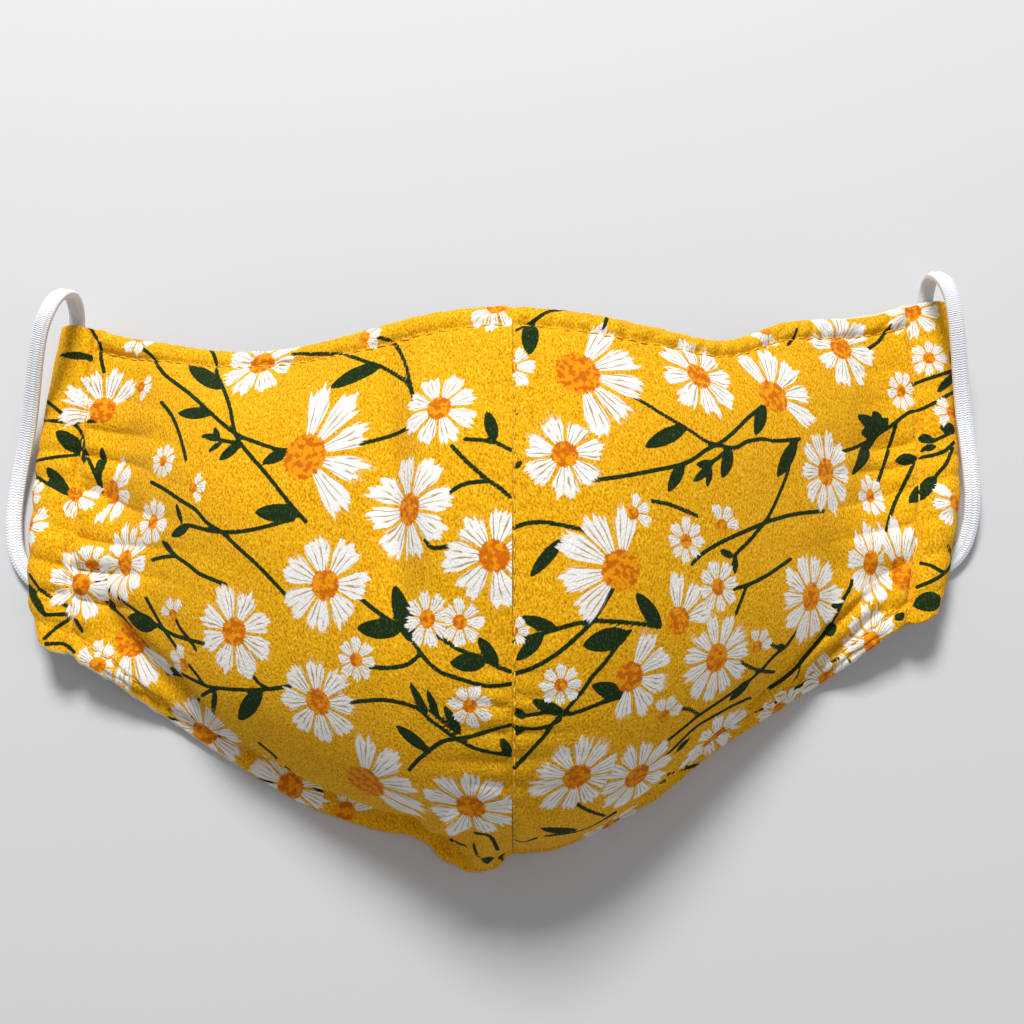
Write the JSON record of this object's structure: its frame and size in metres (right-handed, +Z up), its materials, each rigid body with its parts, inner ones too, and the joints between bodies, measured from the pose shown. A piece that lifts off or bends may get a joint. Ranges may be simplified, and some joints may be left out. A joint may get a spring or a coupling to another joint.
{
  "type": "cloth face mask",
  "caption": "Shaped cloth face mask with a centre seam, a cotton lining, side casings and white elastic ear loops, lying hollow side down",
  "frame": {"origin": "bottom centre of the box of the cloth, without the ear loops, on the surface that the mask lies on", "axes": "+X across the mask from its left half to its right half as the picture shows it, +Y from the chin to the nose, +Z up from the surface"},
  "size_m": [0.2293, 0.1376, 0.0529],
  "materials": {
    "printed_cotton": "matte crepe cotton, mustard with a daisy print",
    "lining_cotton": "matte plain cream cotton",
    "white_elastic": "soft knitted white elastic"
  },
  "bodies": {
    "root": {"front_left": "printed_cotton", "front_right": "printed_cotton", "casing_left": "printed_cotton", "casing_right": "printed_cotton", "lining_left": "lining_cotton", "lining_right": "lining_cotton", "ear_loop_left": "white_elastic", "ear_loop_right": "white_elastic"}
  },
  "joints": []
}
